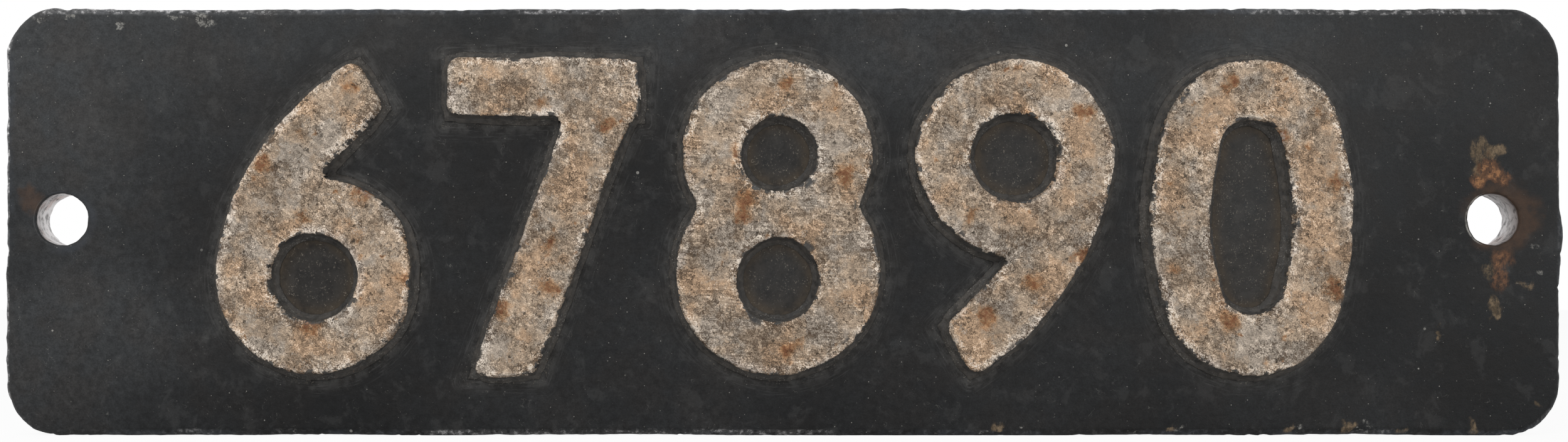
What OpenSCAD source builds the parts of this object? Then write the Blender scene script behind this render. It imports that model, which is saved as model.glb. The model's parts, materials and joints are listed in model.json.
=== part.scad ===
// Cast iron locomotive number plate: a flat plate with five raised figures and two bolt holes.
// Sizes are in millimetres. The plate stands upright, its front looks along -Y, +Z is up,
// and the origin is the middle of the flat back face.

/* [Plate] */
// Length of the plate
plate_length = 602; // [560:1:680]
// Height of the plate
plate_height = 165; // [150:1:200]
// Thickness of the plate
plate_thickness = 12.7; // [8:0.1:20]
// Radius of the plate's four corners
corner_radius = 21; // [10:0.5:40]
// Radius worn on the front edge
front_round = 2.8; // [0.5:0.1:5]
// Slope of the plate's sides, which lets the pattern leave the sand
side_draft = 2; // [0.5:0.5:5]

/* [Bolt holes] */
// Diameter of both bolt holes
hole_diameter = 20; // [12:0.5:24]
// Left end of the plate to the middle of the left hole
left_hole_inset = 22.7; // [18:0.05:30]
// Right end of the plate to the middle of the right hole
right_hole_inset = 26.85; // [18:0.05:30]
// Height of the holes above the middle of the plate
hole_rise = 1; // [-10:0.1:10]

/* [Figures] */
// Height of the figures, measured on their faces
figure_height = 120; // [112:1:130]
// Gap between the faces of neighbouring figures
figure_gap = 15; // [10:0.5:20]
// Height of the figures' middle above the middle of the plate
figure_rise = 1.7; // [-5:0.1:5]
// How far the figures stand out from the plate
relief = 6.35; // [4:0.05:9]
// Slope of the figures' walls
wall_draft = 14; // [5:0.5:20]
// Radius of the hollow at the foot of the walls
root_fillet = 2.5; // [0.8:0.1:3]
// Thickness left at the rim of the foot
foot_lip = 0.4; // [0.2:0.05:0.6]

/* [Six and nine] */
// Outer radius of the bowl
bowl_radius = 37.2; // [34:0.1:42]
// Radius of the round opening in the bowl
bowl_counter_radius = 17.6; // [14:0.1:20]
// Width of the stem at its end
stem_width = 20.5; // [16:0.1:24]
// Radius of the stem's curved back
stem_radius = 112.5; // [100:0.5:130]
// Angle round the bowl at which the stem's back leaves it
stem_start = 170; // [160:1:175]
// Slope of the stem's straight front
stem_lean = 47; // [42:0.5:52]

/* [Seven] */
// Width of the top bar
seven_width = 72; // [60:0.5:80]
// Depth of the top bar
seven_bar = 21; // [16:0.1:24]
// Width of the leaning leg, measured square to it
seven_leg = 22; // [16:0.1:24]
// Lean of the leg from upright
seven_lean = 20; // [12:0.5:26]
// Depth of the upright end of the top bar
seven_shoulder = 11; // [6:0.5:14]

/* [Eight] */
// Outer radius of the upper ring
eight_upper_radius = 35.9; // [33:0.1:38]
// Outer radius of the lower ring
eight_lower_radius = 38.5; // [35:0.1:41]
// Radius of the upper opening
eight_upper_counter = 15.3; // [12:0.1:17]
// Radius of the lower opening
eight_lower_counter = 16.7; // [13:0.1:18]
// Depth of the stroke over the upper opening
eight_head = 20.2; // [17:0.1:23]
// Depth of the stroke under the lower opening
eight_foot = 19.4; // [17:0.1:23]

/* [Zero] */
// Width of the zero over its outer edges
zero_width = 76.2; // [72:0.1:84]
// Width of the zero's stroke
zero_stroke = 21.6; // [16:0.1:24]
// Outer radius of the zero's top and bottom bends
zero_bend = 34.4; // [31:0.1:35]

/* [Hidden] */
$fn = 96;

plate_colour = "#343433";
figure_colour = "#958674";

// Overshoot of cutting shapes past the surfaces that they cut
cut_margin = 1;
// How far a round bend stands past the edge that runs out of it, so that the two cross cleanly
join_sink = 0.25;

// Places of the two holes, seen from the front
left_hole = [left_hole_inset - plate_length / 2, hole_rise];
right_hole = [plate_length / 2 - right_hole_inset, hole_rise];

// The plate's section at its edge: the front corner point and the length of the rounding
edge_corner = [-plate_thickness * tan(side_draft), plate_thickness];
edge_tangent = front_round * tan((90 - side_draft) / 2);

// A figure's wall: the corner where wall and foot would meet, and the length of the hollow
wall_corner = [(relief - foot_lip) * tan(wall_draft), foot_lip];
fillet_tangent = root_fillet * tan((90 - wall_draft) / 2);
foot_flare = wall_corner.x + fillet_tangent;

// Figures in reading order, centred together on the plate
bowl_width = 2 * bowl_radius;
eight_width = 2 * max(eight_upper_radius, eight_lower_radius);
figure_widths = [bowl_width, seven_width, eight_width, bowl_width, zero_width];
figure_count = len(figure_widths);
run_length = sum_first(figure_widths, figure_count) + (figure_count - 1) * figure_gap;

// A straight wall long enough to cross any figure
wall_run = 2 * (figure_height + max(figure_widths));

// Sum of the first n values of a list
function sum_first(values, n) = n == 0 ? 0 : values[n - 1] + sum_first(values, n - 1);

// Middle of the figure that stands at the given place in the row
function figure_x(place) =
    sum_first(figure_widths, place) + place * figure_gap + figure_widths[place] / 2 - run_length / 2;

// Point at a distance and angle from the origin
function polar(distance, angle) = distance * [cos(angle), sin(angle)];

// Stands a shape drawn flat, front face up, upright with its front along -Y
module upright() {
    rotate([90, 0, 0]) children();
}

// Section of the plate's edge: the back corner is the origin and the solid lies at x below 0
module plate_edge(depth) {
    side_end = edge_corner + edge_tangent * [sin(side_draft), -cos(side_draft)];
    front_end = edge_corner - [edge_tangent, 0];
    polygon([[-depth, 0], [0, 0], side_end, front_end, [-depth, plate_thickness]]);
    translate(front_end - [0, front_round]) circle(front_round);
}

// Straight length of plate edge along Y, with the edge towards +X
module straight_edge(depth, run) {
    rotate([90, 0, 0]) linear_extrude(run, center = true) plate_edge(depth);
}

// Quarter of a round corner, in the quadrant where x and y are above 0
module corner() {
    rotate_extrude(angle = 90) translate([corner_radius, 0]) plate_edge(corner_radius);
}

// Flat blank of the plate, back face down
module plate_blank() {
    inner = [plate_length / 2 - corner_radius, plate_height / 2 - corner_radius];
    for (side = [0, 1]) {
        rotate(180 * side) translate([plate_length / 2, 0]) straight_edge(corner_radius, 2 * inner.y);
        rotate(90 + 180 * side) translate([plate_height / 2, 0]) straight_edge(plate_height / 2, 2 * inner.x);
        mirror([side, 0]) translate(inner) corner();
        rotate(180) mirror([side, 0]) translate(inner) corner();
    }
}

// Section of a figure's wall, solid from the inner edge to the rim of the face and the foot below it
module wall_section(inner, rim) {
    wall_end = [rim, 0] + wall_corner + fillet_tangent * [-sin(wall_draft), cos(wall_draft)];
    foot_end = [rim + foot_flare, foot_lip];
    difference() {
        polygon([[inner, 0], [foot_end.x, 0], foot_end, wall_end, [rim, relief], [inner, relief]]);
        translate(foot_end + [0, root_fillet]) circle(root_fillet);
    }
}

// Half of the plane, raised, with one straight wall that faces the given angle
module straight_wall(point, angle) {
    translate(point) rotate(angle) rotate([90, 0, 0])
        linear_extrude(wall_run, center = true) wall_section(-wall_run, 0);
}

// Boss outlined by straight walls, each a point on the rim and the angle that it faces
module straight_boss(walls) {
    intersection_for (wall = walls) straight_wall(wall[0], wall[1]);
}

// Round raised disc
module round_boss(radius) {
    rotate_extrude() wall_section(0, radius);
}

// Round opening, narrower at its foot, to be cut out of a figure
module counter(radius) {
    rotate_extrude() difference() {
        translate([0, -cut_margin]) square([radius, relief + 2 * cut_margin]);
        translate([radius, 0]) mirror([1, 0]) wall_section(-foot_flare, 0);
        translate([radius - foot_flare, -2 * cut_margin]) square([2 * foot_flare, 2 * cut_margin]);
    }
}

// Block that keeps what lies between two heights on a figure
module band(low, high) {
    translate([-wall_run / 2, low, -cut_margin]) cube([wall_run, high - low, relief + 2 * cut_margin]);
}

// Oval boss or opening: two round ends and, between them, what two large rounds share
module oval(half, bend, open) {
    rise = half.y - bend;
    inset = bend - join_sink;
    flank = (half.x * half.x + rise * rise - inset * inset) / (2 * (half.x - inset));
    join = rise * (1 + bend / (flank - inset));
    for (side = [-1, 1]) translate([0, side * rise]) oval_round(bend, open);
    intersection() {
        translate([flank - half.x, 0]) oval_round(flank, open);
        translate([half.x - flank, 0]) oval_round(flank, open);
        band(-join, join);
    }
}

module oval_round(radius, open) {
    if (open) counter(radius);
    else round_boss(radius);
}

// Stem of the six: a curved back and a straight front, from the bowl up to the figure's full height
module six_stem() {
    middle = polar(bowl_radius - join_sink - stem_radius, stem_start) + [0, bowl_radius];
    end_angle = 180 - asin((figure_height - middle.y) / stem_radius);
    root = bowl_radius * (1 + sin(stem_start));
    intersection() {
        translate(middle) round_boss(stem_radius);
        straight_wall(middle + polar(stem_radius, end_angle), end_angle - 90);
        straight_wall(middle + polar(stem_radius - stem_width, end_angle), stem_lean - 90);
        band(root, figure_height + 2 * foot_flare);
    }
}

// Six, standing on y = 0 and centred on its bowl
module six() {
    difference() {
        union() {
            translate([0, bowl_radius]) round_boss(bowl_radius);
            six_stem();
        }
        translate([0, bowl_radius]) counter(bowl_counter_radius);
    }
}

// Seven, standing on y = 0 and centred on its bar
module seven() {
    left = [-seven_width / 2, 0];
    right = [seven_width / 2, 0];
    top = [0, figure_height];
    elbow = right + [0, figure_height - seven_shoulder];
    straight_boss([[left, 180], [right, 0], [top, 90], [top - [0, seven_bar], -90]]);
    straight_boss([[elbow, -seven_lean], [elbow - polar(seven_leg, -seven_lean), 180 - seven_lean],
                   [right, 0], [top, 90], [[0, 0], -90]]);
}

// Eight, standing on y = 0
module eight() {
    difference() {
        union() {
            translate([0, eight_lower_radius]) round_boss(eight_lower_radius);
            translate([0, figure_height - eight_upper_radius]) round_boss(eight_upper_radius);
        }
        translate([0, eight_foot + eight_lower_counter]) counter(eight_lower_counter);
        translate([0, figure_height - eight_head - eight_upper_counter]) counter(eight_upper_counter);
    }
}

// Zero, standing on y = 0
module zero() {
    half = [zero_width, figure_height] / 2;
    translate([0, half.y]) difference() {
        oval(half, zero_bend, false);
        oval(half - zero_stroke * [1, 1], zero_bend - zero_stroke, true);
    }
}

// Stands a figure at its place in the row, with its foot on the plate's front face
module in_row(place) {
    upright() translate([figure_x(place), figure_rise - figure_height / 2, plate_thickness]) children();
}

module base_plate() {
    color(plate_colour) upright() difference() {
        plate_blank();
        for (hole = [left_hole, right_hole])
            translate([hole.x, hole.y, -cut_margin])
                cylinder(d = hole_diameter, h = plate_thickness + 2 * cut_margin);
    }
}

module numeral_6() {
    color(figure_colour) in_row(0) six();
}

module numeral_7() {
    color(figure_colour) in_row(1) seven();
}

module numeral_8() {
    color(figure_colour) in_row(2) eight();
}

// A six turned half round
module numeral_9() {
    color(figure_colour) in_row(3) translate([0, figure_height]) rotate(180) six();
}

module numeral_0() {
    color(figure_colour) in_row(4) zero();
}

base_plate();
numeral_6();
numeral_7();
numeral_8();
numeral_9();
numeral_0();
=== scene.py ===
import itertools
import json
import math

import bpy
import numpy as np
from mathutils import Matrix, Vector
from mathutils.geometry import delaunay_2d_cdt
from mathutils.kdtree import KDTree


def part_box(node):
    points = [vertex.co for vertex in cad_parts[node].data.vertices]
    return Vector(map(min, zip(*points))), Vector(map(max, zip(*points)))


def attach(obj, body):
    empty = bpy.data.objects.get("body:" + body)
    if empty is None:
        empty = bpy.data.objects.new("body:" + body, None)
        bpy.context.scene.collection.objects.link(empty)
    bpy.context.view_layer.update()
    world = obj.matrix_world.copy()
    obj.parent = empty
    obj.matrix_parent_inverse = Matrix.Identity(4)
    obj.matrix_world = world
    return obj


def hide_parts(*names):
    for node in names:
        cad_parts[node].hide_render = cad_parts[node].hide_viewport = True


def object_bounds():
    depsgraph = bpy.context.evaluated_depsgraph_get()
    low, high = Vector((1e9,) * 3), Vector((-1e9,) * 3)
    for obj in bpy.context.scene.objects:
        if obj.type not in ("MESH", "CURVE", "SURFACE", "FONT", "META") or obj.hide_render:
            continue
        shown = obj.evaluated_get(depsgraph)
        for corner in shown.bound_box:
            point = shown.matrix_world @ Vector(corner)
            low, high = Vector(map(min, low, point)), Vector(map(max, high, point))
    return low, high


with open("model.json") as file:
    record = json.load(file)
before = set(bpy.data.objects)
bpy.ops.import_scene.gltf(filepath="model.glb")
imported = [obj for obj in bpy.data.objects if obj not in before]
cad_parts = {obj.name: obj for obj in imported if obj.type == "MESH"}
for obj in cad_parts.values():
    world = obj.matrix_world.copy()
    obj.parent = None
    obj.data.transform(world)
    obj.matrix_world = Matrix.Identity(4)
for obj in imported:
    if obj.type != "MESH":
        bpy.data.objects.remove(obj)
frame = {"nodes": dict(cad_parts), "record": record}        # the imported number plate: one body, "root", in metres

bl_info = {
    "name": "Cast Number Plate",
    "version": (1, 0, 0),
    "blender": (4, 5, 0),
    "location": "View3D > Sidebar > Number Plate",
    "description": "Dresses a cast iron number plate with worn paint, rust and chipped edges",
    "category": "Object",
}

MM = 0.001
BODY = "root"
PLATE_NODE = "base_plate"
FIGURE_NODES = sorted(name for name in frame["nodes"] if name.startswith("numeral_"))
MOUNTS = {mount["name"]: mount for mount in frame["record"]["mounts"]}
LEFT_HOLE = MOUNTS["left_bolt_hole"]
RIGHT_HOLE = MOUNTS["right_bolt_hole"]
HOLES = (LEFT_HOLE, RIGHT_HOLE)
CAD_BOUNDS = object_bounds()
PLATE_LOW, PLATE_HIGH = (np.array(corner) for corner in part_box(PLATE_NODE))
PLATE_HALF = (PLATE_HIGH - PLATE_LOW)[[0, 2]] / 2
FRONT = PLATE_LOW[1]
THICKNESS = PLATE_HIGH[1] - FRONT

FACE_DEPTH = 0.45 * MM       # a figure's face ends this far below its highest point
WALL_TOP = 1.6 * MM          # and the uppermost part of its wall ends here
RIM_LAND = 0.9 * MM          # width of the outermost band of a figure's face
FOOT_STEP = 0.8 * MM         # spacing of the points along a figure's foot
STROKE_REACH = 12 * MM       # how far from a figure its brush strokes can be seen
WASHER_RADIUS = 12 * MM      # radius of the mark left round the left hole
SHEEN_BAND = 4.5 * MM         # width of the band of painted blue-grey sheen along the plate's edge; the left end's is double
EDGE_LAND = 0.6 * MM         # width of the ring of points inside the front edge
HOLE_LAND = 0.9 * MM         # width of the ring of points round each hole
RAGGED_WAVE = 4.5 * MM       # size of the waves in the outlines of the marks
RAGGED_REACH = 1.9 * MM      # and how far those waves go
SPECULAR = 0.15              # how strongly the old paint reflects
FIGURE_SEED = 100            # seed of the first figure's noise
SEED_STEP = 10               # and the step from each figure's to the next
PATTERN_STEP = (0.37, 0.23)  # metres by which the paint's pattern moves from figure to figure
FLOOR_REACH = 3.0            # half the width of the floor, in metres
FLOOR_GLOW = 0.92            # how far the floor reads as plain white

# Left and right hole: brightness of the iron at the front and at the back, painted backlight that grows towards
# the back, and the strength of the painted highlight on the rim, where the paint is rubbed off
HOLE_LIGHT_AND_WEAR = ((LEFT_HOLE, 0.55, 1.25, 0.5), (RIGHT_HOLE, 0.22, 1.05, 1.0))

# Each figure: angle and strength of its brush streaks, and the share of its rim's cells with a chip
FIGURE_WEAR = ((60, 0.4, 0.45), (-40, 0.2, 0.30), (86, 0.5, 0.50), (3, 1.1, 0.75), (-25, 0.5, 0.40))

# Marks on the plate's front: place from a hole or the plate's middle, half width, half height, in
# millimetres, and strength. Places follow the wear seen on the plate.
RIGHT_HOLE_RUST = [
    (-1.8, 20.0, 4.6, 4.6, 0.85),
    (-6.0, 14.6, 2.6, 3.6, 1.0),
    (2.2, 16.0, 5.2, 2.6, 0.85),
    (3.6, -15.5, 5.6, 3.4, 0.62),
    (2.6, -22.0, 3.4, 6.5, 0.62),
]
RIGHT_HOLE_DIRT = [
    (-4.4, 28.6, 2.6, 4.4, 0.85),
    (0.6, 26.6, 3.8, 3.4, 1.0),
    (-5.2, 21.5, 3.2, 6.5, 0.7),
    (-1.6, -19.5, 2.6, 4.2, 0.50),
    (0.2, -33.6, 2.8, 3.6, 0.85),
    (0.4, -37.2, 2.3, 2.0, 1.0),
    (-22.2, -46.8, 1.2, 2.0, 1.0),
    (-22.2, -42.0, 0.9, 3.0, 0.5),
    (13.0, -25.0, 3.6, 1.3, 0.6),
]
RIGHT_HOLE_STAIN = [
    (3.6, 1.0, 14.2, 13.4, 1.0),
    (3.5, -13.0, 6.0, 5.0, 0.7),
]
LEFT_HOLE_STAIN = [
    (-11.8, 7.6, 4.2, 6.8, 0.80),
]
LOWER_EDGE_DIRT = [
    (83.9, -80.0, 2.4, 1.0, 0.9),
    (148.7, -79.4, 1.8, 1.3, 1.0),
    (194.7, -80.0, 2.2, 1.1, 1.0),
    (218.9, -79.4, 2.2, 1.8, 1.0),
    (237.8, -79.6, 2.4, 1.3, 0.8),
    (265.6, -78.8, 1.4, 2.6, 0.9),
    (292.0, -69.4, 1.2, 1.2, 0.9),
]
LOWER_EDGE_SCUFFS = [
    (77.4, -79.9, 2.6, 1.1, 0.7),
    (93.3, -80.0, 1.9, 0.9, 0.6),
    (134.7, -79.9, 1.8, 1.1, 0.7),
    (150.4, -79.2, 2.2, 1.1, 0.8),
    (154.5, -78.4, 2.0, 1.4, 0.9),
    (157.2, -77.0, 1.2, 1.6, 0.8),
    (198.0, -79.9, 2.4, 1.0, 0.9),
    (222.0, -79.9, 2.4, 1.0, 0.7),
    (226.4, -77.2, 2.4, 1.6, 0.7),
    (247.0, -79.0, 1.6, 1.5, 0.6),
    (251.8, -79.0, 1.8, 1.2, 0.7),
]
TOP_EDGE_SCUFFS = [
    (-288.0, 77.6, 3.2, 1.7, 0.8),
    (-276.0, 79.0, 2.5, 1.6, 0.8),
    (-256.0, 76.5, 1.4, 2.2, 0.9),
    (-234.0, 78.5, 5.0, 2.0, 0.8),
    (-223.0, 78.0, 6.0, 2.2, 0.9),
    (-207.0, 78.5, 3.0, 1.8, 0.8),
    (-292.0, 70.0, 1.2, 2.0, 0.6),
    (-110.0, 78.0, 4.0, 1.2, 0.5),
    (289.0, -10.0, 3.5, 2.0, 0.55),
    (293.0, -19.0, 2.5, 1.5, 0.60),
    (286.0, -23.5, 4.0, 1.2, 0.50),
]


def length_property(name, description, millimetres):
    """A length that a user can change"""
    return bpy.props.FloatProperty(
        name=name, description=description, default=millimetres * MM, unit="LENGTH")


def power_property(name, description, watts):
    """The power of a lamp"""
    return bpy.props.FloatProperty(name=name, description=description, default=watts, unit="POWER")


def colour_property(name, description, default):
    """A colour that a user can change"""
    return bpy.props.FloatVectorProperty(
        name=name, description=description, default=default, size=3, min=0, max=1, subtype="COLOR")


def group_property(group, name, description):
    """A group of settings"""
    return bpy.props.PointerProperty(type=group, name=name, description=description)


class PlateSettings(bpy.types.PropertyGroup):
    """Shape and wear of the plate"""

    grid_step: length_property("Grid step", "Spacing of the points on the plate's front", 1.3)
    back_step: length_property("Back step", "Spacing of the points on the plate's back", 5.0)
    corner_radius: length_property("Corner radius", "Radius of the plate's corners", 21.0)
    edge_round: length_property("Edge rounding", "Radius worn on the front edge", 2.8)
    back_round: length_property("Back rounding", "Radius of the back edge and of the holes' rims", 0.7)
    side_draft: bpy.props.FloatProperty(
        name="Side slope", description="Slope of the plate's sides",
        default=math.radians(2.0), subtype="ANGLE")
    edge_wobble: length_property("Edge wobble", "How far the cast outline strays from straight", 0.35)
    chip_depth: length_property("Chip depth", "Depth of the deepest chips in the front edge", 0.6)
    chip_count: bpy.props.IntProperty(
        name="Chips", description="Number of chips round the front edge", default=70)
    bulge: length_property("Casting bulge", "Height of the lump on the right end, beside the hole", 1.7)
    swell: length_property("Edge swell", "How far the long edges swell past the drawn outline", 0.45)
    sway: length_property("Surface sway", "Height of the slow waves in the cast surface", 0.16)


class FigureSettings(bpy.types.PropertyGroup):
    """Shape and wear of the raised figures"""

    voxel: length_property("Mesh size", "Size of the mesh on the figures", 0.5)
    outline_warp: length_property(
        "Outline warp", "How far the hand-cut outline strays from the drawn one", 0.5)
    face_dent: length_property("Face dents", "Depth of the dents in the faces", 0.16)
    rim_wear: length_property("Rim wear", "How far the rims of the faces are worn down", 0.55)
    foot_sink: length_property("Foot depth", "How deep the foot reaches into the plate's paint", 0.3)
    corner_wear: length_property("Corner wear", "How far the corners of the figures are rounded", 2.2)
    rim_width: length_property("Rim width", "Width of the flaking band along the rims", 6.0)


class PaintSettings(bpy.types.PropertyGroup):
    """Colours of the paint, dust and rust"""

    black: colour_property("Black paint", "Old satin black", (0.0099, 0.0105, 0.0110))
    umber: colour_property("Brown black", "Black paint gone brown", (0.0107, 0.0105, 0.0104))
    haze: colour_property("Dust haze", "Thin dust on the black paint", (0.067, 0.067, 0.066))
    speck: colour_property("Specks", "Pale specks of dust", (0.36, 0.35, 0.32))
    grime: colour_property("Grime", "Brown dirt in the corners", (0.058, 0.046, 0.034))
    # painted reflection: the white room's sheen along the plate's edges and round the holes' rims, in blue-grey;
    # the washer's mark is laid in it too
    edge: colour_property("Worn edge", "Paint rubbed blue-grey along the edges", (0.040, 0.046, 0.056))
    sand: colour_property("Sand", "Dry tan dirt and pale rust", (0.145, 0.106, 0.067))
    stain: colour_property("Stain", "Dark brown rust stain", (0.055, 0.033, 0.022))
    rust: colour_property("Rust", "Brown rust", (0.110, 0.058, 0.035))
    orange: colour_property("Fresh rust", "Orange rust", (0.225, 0.112, 0.054))
    heart: colour_property("Rust heart", "Red-brown middle of a rust spot", (0.145, 0.055, 0.028))
    tint: colour_property("Rust tint", "Tint of the paint round the rust", (1.0, 0.78, 0.58))
    cool: colour_property("Cool cream", "Cream paint washed grey", (0.286, 0.240, 0.195))
    cream: colour_property("Cream", "Aged cream paint", (0.302, 0.231, 0.168))
    peach: colour_property("Warm cream", "Cream paint gone warm", (0.330, 0.226, 0.147))
    dark: colour_property("Dark cream", "Dirty paint close to the metal", (0.115, 0.078, 0.052))
    chalk: colour_property("Chalky rim", "Chalky undercoat along the rims", (0.45, 0.40, 0.365))
    fleck: colour_property("Flecks", "Pale flakes of undercoat", (0.74, 0.66, 0.57))
    # painted backlight: near-white iron for the light from behind that shows on the holes' walls; the glints along
    # the very edge use it too
    iron: colour_property("Bare iron", "Pale corroded iron in the holes", (0.93, 0.91, 0.91))
    scale: colour_property("Rust scale", "Pink-brown scale in the holes", (0.40, 0.27, 0.23))


class StageSettings(bpy.types.PropertyGroup):
    """Camera, lamps and floor"""

    camera_distance: length_property("Camera distance", "Camera to the plate's front", 553.0)
    camera_x: length_property("Camera offset", "Camera's place along the plate", -30.0)
    camera_z: length_property("Camera height", "Camera's height above the plate's middle", -25.0)
    view_width: length_property("View width", "Width of the view at the plate's front", 605.0)
    view_x: length_property("View middle", "Middle of the view along the plate", 0.4)
    view_z: length_property("View height", "Height of the view's middle", 0.4)
    key_power: power_property("Main lamp", "Power of the lamp at the upper left", 8.5)
    fill_power: power_property("Fill lamp", "Power of the lamp at the right", 7.0)
    room_light: bpy.props.FloatProperty(
        name="Room light", description="Strength of the light from all round", default=0.42)
    floor_colour: colour_property("Floor", "Colour of the floor", (0.96, 0.96, 0.96))


HASH_STEPS = np.array([73856093, 19349663, 83492791], dtype=np.int64)
HASH_SEED = 668265263
HASH_TURN = 1274126177
HASH_MASK = (1 << 31) - 1


def lattice_noise(points, wavelength, seed):
    """Smooth noise between -1 and 1 at an (n, 3) array of points"""
    scaled = np.asarray(points) / wavelength
    cell = np.floor(scaled).astype(np.int64)
    part = scaled - cell
    ease = part * part * (3 - 2 * part)
    total = np.zeros(len(scaled))
    for corner in itertools.product((0, 1), repeat=3):
        mixed = ((cell + corner) * HASH_STEPS).sum(axis=1) + seed * HASH_SEED
        mixed = ((mixed ^ (mixed >> 13)) * HASH_TURN) & HASH_MASK
        value = (mixed ^ (mixed >> 15)) & HASH_MASK
        weight = np.where(corner, ease, 1 - ease).prod(axis=1)
        total += weight * (2 * value / HASH_MASK - 1)
    return total


def layered_noise(points, wavelength, seed, layers=3):
    """Noise with finer and weaker layers on top of each other"""
    total = 0
    for layer in range(layers):
        total = total + lattice_noise(points, wavelength / 2 ** layer, seed + layer) / 2 ** layer
    return total


def in_plane(flat, depth=0.0):
    """Points on the front, given by length and height, as points in space"""
    flat = np.asarray(flat)
    return np.column_stack([flat[:, 0], np.full(len(flat), depth), flat[:, 1]])


def lengths(vectors):
    """Length of each vector in an (n, 2) array"""
    return np.hypot(vectors[:, 0], vectors[:, 1])


def bell(value, middle, width):
    """1 at the middle, falling off to both sides"""
    return np.exp(-((value - middle) / width) ** 2)


def smooth_step(value, low, high):
    """0 below low, 1 above high, eased between"""
    part = np.clip((value - low) / (high - low), 0, 1)
    return part * part * (3 - 2 * part)


def spots(points, marks, origin=(0, 0)):
    """Strength at each point of soft oval marks, the strongest one counting"""
    total = np.zeros(len(points))
    spread = in_plane(points)
    ragged = np.column_stack([layered_noise(spread, RAGGED_WAVE, seed) for seed in (81, 91)])
    for across, up, half_width, half_height, strength in marks:
        offset = points + RAGGED_REACH * ragged - np.array(origin) - np.array([across, up]) * MM
        reach = lengths(offset / (half_width * MM, half_height * MM))
        total = np.maximum(total, strength * smooth_step(-reach, -1.45, -0.45))
    return total


def hole_place(hole):
    """Length and height of a hole's middle"""
    return np.array([hole["pos_m"][0], hole["pos_m"][2]])


def outside_hole(points, hole):
    """How far each point lies outside a hole's rim"""
    return lengths(points - hole_place(hole)) - hole["dims"]["r_mm"] * MM


def nearest(points, targets):
    """The number of the nearest target to each point, by length and height, and the distance to it"""
    tree = KDTree(len(targets))
    for number, (across, up) in enumerate(targets.tolist()):
        tree.insert((across, 0, up), number)
    tree.balance()
    found = [tree.find((across, 0, up)) for across, up in points.tolist()]
    return np.array([number for _, number, _ in found]), np.array([gap for _, _, gap in found])


def new_piece(name, vertices, faces, attributes):
    """A smooth mesh object with one value per point for each attribute"""
    mesh = bpy.data.meshes.new(name)
    mesh.from_pydata(vertices.tolist(), [], faces)
    mesh.validate()
    mesh.update()
    mesh.polygons.foreach_set("use_smooth", np.ones(len(mesh.polygons), dtype=bool))
    for label, values in attributes.items():
        layer = mesh.attributes.new(label, "FLOAT", "POINT")
        layer.data.foreach_set("value", np.asarray(values, dtype=np.float32))
    piece = bpy.data.objects.new(name, mesh)
    bpy.context.scene.collection.objects.link(piece)
    return piece


def seat_piece(piece, node, material):
    """Gives a piece its paint and puts it in place of its node"""
    piece.data.materials.clear()
    piece.data.materials.append(material)
    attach(piece, BODY)
    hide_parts(node)


def rounded_outline(half, radius, step):
    """Points evenly spaced round a rectangle with round corners, and the way each faces"""
    points = []
    normals = []
    for quarter in range(4):
        turn = quarter * math.pi / 2
        outward = np.array([math.cos(turn), math.sin(turn)])
        along = np.array([-outward[1], outward[0]])
        reach, run = (half[0], half[1]) if quarter % 2 == 0 else (half[1], half[0])
        side_count = max(2, round(2 * (run - radius) / step))
        for place in np.linspace(radius - run, run - radius, side_count, endpoint=False):
            points.append(outward * reach + along * place)
            normals.append(outward)
        middle = outward * (reach - radius) + along * (run - radius)
        arc_count = max(4, round(radius * math.pi / 2 / step))
        for angle in np.linspace(turn, turn + math.pi / 2, arc_count, endpoint=False):
            facing = np.array([math.cos(angle), math.sin(angle)])
            points.append(middle + radius * facing)
            normals.append(facing)
    return np.array(points), np.array(normals)


def edge_profile(plate):
    """Insets from the back outline and depths below the front, down the plate's edge"""
    lean = math.tan(plate.side_draft)
    turn = math.pi / 2 - plate.side_draft
    middle = THICKNESS * lean + plate.edge_round * math.tan(turn / 2)
    profile = [(middle + EDGE_LAND, 0.0)]
    for angle in np.linspace(0, turn, 6):
        inset = middle - plate.edge_round * math.sin(angle)
        profile.append((inset, plate.edge_round * (1 - math.cos(angle))))
    for depth in np.linspace(profile[-1][1], THICKNESS - plate.back_round, 5)[1:]:
        profile.append(((THICKNESS - depth) * lean, depth))
    profile.append((0.3 * plate.back_round, THICKNESS - 0.3 * plate.back_round))
    profile.append((plate.back_round, THICKNESS))
    return np.array(profile)


def edge_chips(points, plate):
    """Depth of the chips at each point of the outline"""
    draw = np.random.default_rng(11)
    depth = np.zeros(len(points))
    for _ in range(plate.chip_count):
        middle = points[draw.integers(len(points))]
        reach = draw.uniform(0.8, 3.2) * MM
        size = plate.chip_depth * draw.uniform(0.2, 1.0) ** 2
        gap = lengths(points - middle)
        depth = np.maximum(depth, size * smooth_step(-gap, -reach, -0.2 * reach))
    return depth


def worn_outline(points, normals, plate):
    """How far each point of the outline stands out after casting and wear"""
    spread = in_plane(points)
    shift = plate.edge_wobble * layered_noise(spread, 45 * MM, 3)
    left_end = smooth_step(-normals[:, 0], 0.6, 1.0)
    shift += (0.14 + 0.16 * left_end) * MM * layered_noise(spread, 5 * MM, 9)
    shift -= 0.5 * MM * left_end
    on_right_end = points[:, 0] > PLATE_HALF[0] - MM
    beside_hole = bell(points[:, 1], -7 * MM, 11 * MM) * on_right_end
    ripple = 1 + 0.2 * lattice_noise(spread, 4 * MM, 21)
    shift += plate.bulge * beside_hole * ripple
    shift += plate.swell * np.abs(normals[:, 1])
    left, top = PLATE_HALF * (-1, 1)
    facet = 15 * MM
    for full_place in ((left + facet, top), (left, top - facet)):
        shift += 0.5 * MM * bell(lengths(points - full_place), 0, 5 * MM)
    return shift


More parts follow.
